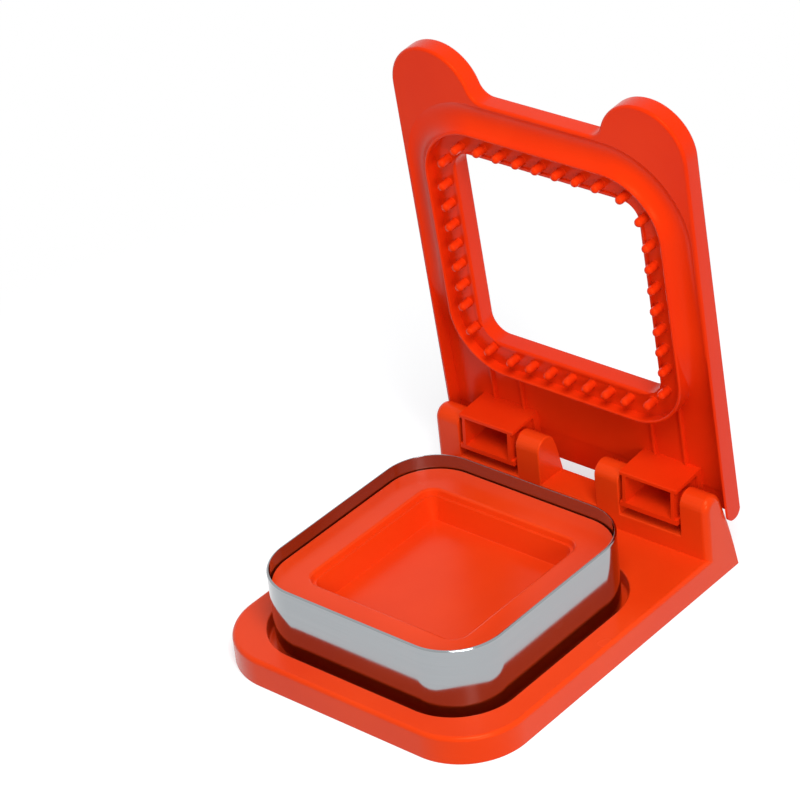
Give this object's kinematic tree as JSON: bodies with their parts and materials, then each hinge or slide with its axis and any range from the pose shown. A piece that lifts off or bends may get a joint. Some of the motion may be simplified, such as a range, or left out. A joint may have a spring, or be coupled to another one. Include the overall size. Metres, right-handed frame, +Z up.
{
  "type": "sandwich cutter and sealer",
  "caption": "Hand press with a tray, a rounded-square steel cutting ring and a hinged, eared lid whose window is framed by crimping pegs.",
  "frame": {"origin": "middle of the object's footprint, on the surface that it stands on", "axes": "+Z up, +X along the hinge, +Y from the tray's front edge towards the hinge"},
  "size_m": [0.1224, 0.145, 0.1823],
  "materials": {
    "red_plastic": "satin gloss",
    "polished_steel": "polished",
    "zinc_plate": "plated"
  },
  "bodies": {
    "base": {"base_tray": "red_plastic", "cutter_ring": "polished_steel", "sealing_platform": "red_plastic", "screw_front_left": "zinc_plate", "screw_rear_left": "zinc_plate", "screw_front_right": "zinc_plate", "screw_rear_right": "zinc_plate"},
    "lid": {"lid": "red_plastic"}
  },
  "joints": [
    {"name": "lid_hinge", "type": "hinge", "parent": "base", "child": "lid", "pos_m": [0, 0.06071, 0.0306], "axis": [1, 0, 0], "range_deg": [-6.25, 85.25]}
  ]
}
